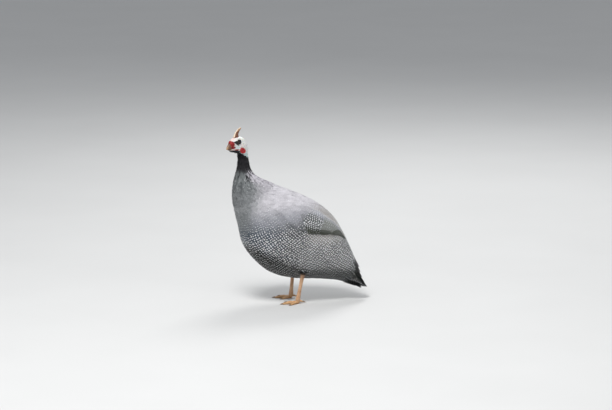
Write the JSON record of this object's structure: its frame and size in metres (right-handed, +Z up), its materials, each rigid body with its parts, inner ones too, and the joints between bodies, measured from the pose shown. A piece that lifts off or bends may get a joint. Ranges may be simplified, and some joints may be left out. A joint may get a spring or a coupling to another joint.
{
  "type": "guinea fowl model",
  "caption": "Life-size still model of a standing lavender guinea fowl, head turned to its left, with bony casque, red wattles, folded wings and drooping tail.",
  "frame": {"origin": "on the floor, centred under the bird's bounding box", "axes": "-X the way the breast faces, -Y the bird's left side, +Z up"},
  "size_m": [0.3652, 0.168, 0.4428],
  "materials": {
    "body_plumage": "soft vaned feathers, lavender grey with white spots",
    "neck_plumage": "short soft feathers, darkening to black hair-like ones at the top",
    "dark_plumage": "soft dark belly and thigh feathers",
    "quill_feathers": "firm vanes with pale bars and spots",
    "face_skin": "bare bluish white skin, finely wrinkled",
    "wattle_skin": "bare crimson skin, soft and pitted",
    "bill_horn": "horn, satin",
    "casque_horn": "ridged horn, satin",
    "eye": "wet and glossy",
    "leg_skin": "scaled skin, satin",
    "claw": "horn, satin"
  },
  "bodies": {
    "root": {"bill_lower": "bill_horn", "bill_upper": "bill_horn", "casque": "casque_horn", "claw_left_hind": "claw", "claw_left_inner": "claw", "claw_left_middle": "claw", "claw_left_outer": "claw", "claw_right_hind": "claw", "claw_right_inner": "claw", "claw_right_middle": "claw", "claw_right_outer": "claw", "eye_left": "eye", "eye_right": "eye", "foot_left": "leg_skin", "foot_right": "leg_skin", "head": "face_skin", "neck": "neck_plumage", "shank_left": "leg_skin", "shank_right": "leg_skin", "tail": "quill_feathers", "thigh_left": "dark_plumage", "thigh_right": "dark_plumage", "torso": "body_plumage", "wattle_left": "wattle_skin", "wattle_right": "wattle_skin", "wing_left": "quill_feathers", "wing_right": "quill_feathers"}
  },
  "joints": []
}
